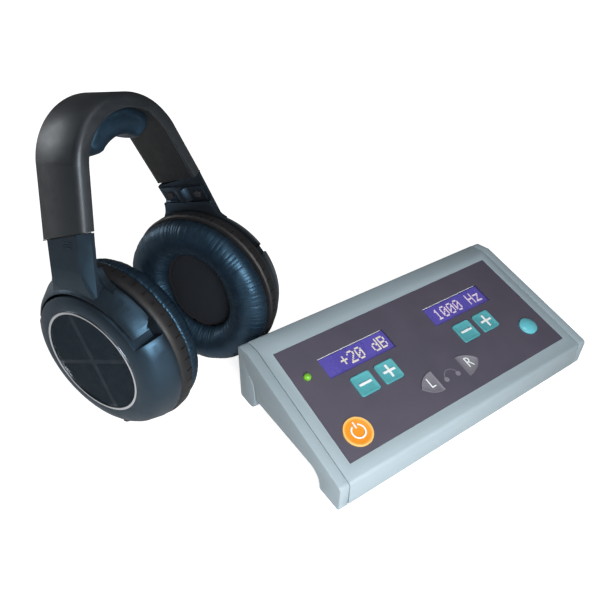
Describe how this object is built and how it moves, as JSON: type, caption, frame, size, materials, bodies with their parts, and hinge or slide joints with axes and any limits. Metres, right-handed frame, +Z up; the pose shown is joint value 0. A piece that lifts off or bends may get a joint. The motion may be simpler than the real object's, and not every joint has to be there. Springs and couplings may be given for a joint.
{
  "type": "audiometer",
  "caption": "Desk audiometer: sloped console with two displays, sprung keys, lamp and power button, with folding-arm headphones standing behind its left corner.",
  "frame": {"origin": "on the table under the middle of the whole set, console and headphones", "axes": "+X to the right along the console, +Y to its rear, +Z up"},
  "size_m": [0.3145, 0.2095, 0.1909],
  "materials": {
    "case_grey": "fine matte",
    "panel_sheet": "matte film",
    "carrier": "moulded",
    "window": "clear",
    "display": "dark glass",
    "green_lamp": "translucent",
    "key_teal": "satin",
    "key_grey": "satin",
    "key_cyan": "glossy",
    "key_orange": "satin",
    "board": "lacquered",
    "switch": "moulded",
    "steel": "plated",
    "foot_rubber": "matte",
    "socket": "moulded",
    "black_plastic": "satin",
    "liner": "matte",
    "cushion": "soft",
    "ear_fabric": "woven",
    "silver_trim": "polished",
    "disc": "lined",
    "ring": "moulded",
    "driver": "moulded"
  },
  "bodies": {
    "console": {"housing_shell": "case_grey", "base_plate": "case_grey", "left_cheek": "case_grey", "right_cheek": "case_grey", "rubber_feet": "foot_rubber", "panel_overlay": "panel_sheet", "panel_carrier": "carrier", "level_window": "window", "frequency_window": "window", "level_display": "display", "frequency_display": "display", "status_led": "green_lamp", "main_board": "board", "key_switches": "switch", "board_spacers": "steel", "board_screws": "steel", "base_screws": "steel", "headphone_jack": "socket", "power_jack": "socket"},
    "level_down_key_body": {"level_down_key": "key_teal"},
    "level_up_key_body": {"level_up_key": "key_teal"},
    "frequency_down_key_body": {"frequency_down_key": "key_teal"},
    "frequency_up_key_body": {"frequency_up_key": "key_teal"},
    "left_ear_key_body": {"left_ear_key": "key_grey"},
    "right_ear_key_body": {"right_ear_key": "key_grey"},
    "tone_key_body": {"tone_key": "key_cyan"},
    "power_key_body": {"power_key": "key_orange"},
    "headband": {"headband_shell": "black_plastic", "headband_liner": "liner", "headband_spring": "steel", "headband_pad": "cushion"},
    "left_slide": {"left_slider": "black_plastic"},
    "left_yoke": {"left_arm": "black_plastic", "left_hinge_cover": "black_plastic", "left_cover_screws": "steel", "left_pivot_pins": "steel"},
    "left_cup": {"left_cup_housing": "black_plastic", "left_trim_ring": "silver_trim", "left_disc": "disc", "left_rim_ring": "ring", "left_baffle": "liner", "left_driver": "driver", "left_ear_cloth": "ear_fabric", "left_ear_pad": "cushion", "cable_inlet": "socket"},
    "right_slide": {"right_slider": "black_plastic"},
    "right_yoke": {"right_arm": "black_plastic", "right_hinge_cover": "black_plastic", "right_cover_screws": "steel", "right_pivot_pins": "steel"},
    "right_cup": {"right_cup_housing": "black_plastic", "right_trim_ring": "silver_trim", "right_disc": "disc", "right_rim_ring": "ring", "right_baffle": "liner", "right_driver": "driver", "right_ear_cloth": "ear_fabric", "right_ear_pad": "cushion"}
  },
  "joints": [
    {"name": "level_down_key_press", "type": "slide", "parent": "console", "child": "level_down_key_body", "axis": [0, 0.2656, -0.9641], "range_m": [0, 0.0006], "stiffness_N_per_m": 900, "springref_m": -0.0005},
    {"name": "level_up_key_press", "type": "slide", "parent": "console", "child": "level_up_key_body", "axis": [0, 0.2656, -0.9641], "range_m": [0, 0.0006], "stiffness_N_per_m": 900, "springref_m": -0.0005},
    {"name": "frequency_down_key_press", "type": "slide", "parent": "console", "child": "frequency_down_key_body", "axis": [0, 0.2656, -0.9641], "range_m": [0, 0.0006], "stiffness_N_per_m": 900, "springref_m": -0.0005},
    {"name": "frequency_up_key_press", "type": "slide", "parent": "console", "child": "frequency_up_key_body", "axis": [0, 0.2656, -0.9641], "range_m": [0, 0.0006], "stiffness_N_per_m": 900, "springref_m": -0.0005},
    {"name": "left_ear_key_press", "type": "slide", "parent": "console", "child": "left_ear_key_body", "axis": [0, 0.2656, -0.9641], "range_m": [0, 0.0006], "stiffness_N_per_m": 900, "springref_m": -0.0005},
    {"name": "right_ear_key_press", "type": "slide", "parent": "console", "child": "right_ear_key_body", "axis": [0, 0.2656, -0.9641], "range_m": [0, 0.0006], "stiffness_N_per_m": 900, "springref_m": -0.0005},
    {"name": "tone_key_press", "type": "slide", "parent": "console", "child": "tone_key_body", "axis": [0, 0.2656, -0.9641], "range_m": [0, 0.0006], "stiffness_N_per_m": 900, "springref_m": -0.0005},
    {"name": "power_key_press", "type": "slide", "parent": "console", "child": "power_key_body", "axis": [0, 0.2656, -0.9641], "range_m": [0, 0.0006], "stiffness_N_per_m": 900, "springref_m": -0.0005},
    {"name": "headphones_lift", "type": "slide", "parent": "console", "child": "headband", "axis": [0, 0, 1], "range_m": [0, 0.25]},
    {"name": "left_extension", "type": "slide", "parent": "headband", "child": "left_slide", "axis": [-0.215, -0.2984, -0.9299], "range_m": [0, 0.02]},
    {"name": "left_swivel", "type": "hinge", "parent": "left_slide", "child": "left_yoke", "pos_m": [-0.13509, 0.04328, 0.11751], "axis": [0.215, 0.2984, 0.9299], "range_deg": [-16, 8]},
    {"name": "left_tilt", "type": "hinge", "parent": "left_yoke", "child": "left_cup", "pos_m": [-0.13393, 0.03608, 0.08097], "axis": [-0.4193, 0.8882, -0.188], "range_deg": [-5, 3]},
    {"name": "right_extension", "type": "slide", "parent": "headband", "child": "right_slide", "axis": [0.3605, -0.0729, -0.9299], "range_m": [0, 0.02]},
    {"name": "right_swivel", "type": "hinge", "parent": "right_slide", "child": "right_yoke", "pos_m": [-0.04836, 0.07727, 0.11751], "axis": [-0.3605, 0.0729, 0.9299], "range_deg": [-22, 2]},
    {"name": "right_tilt", "type": "hinge", "parent": "right_yoke", "child": "right_cup", "pos_m": [-0.04334, 0.06903, 0.08152], "axis": [-0.501, 0.8258, -0.2589], "range_deg": [-6, 2]}
  ]
}
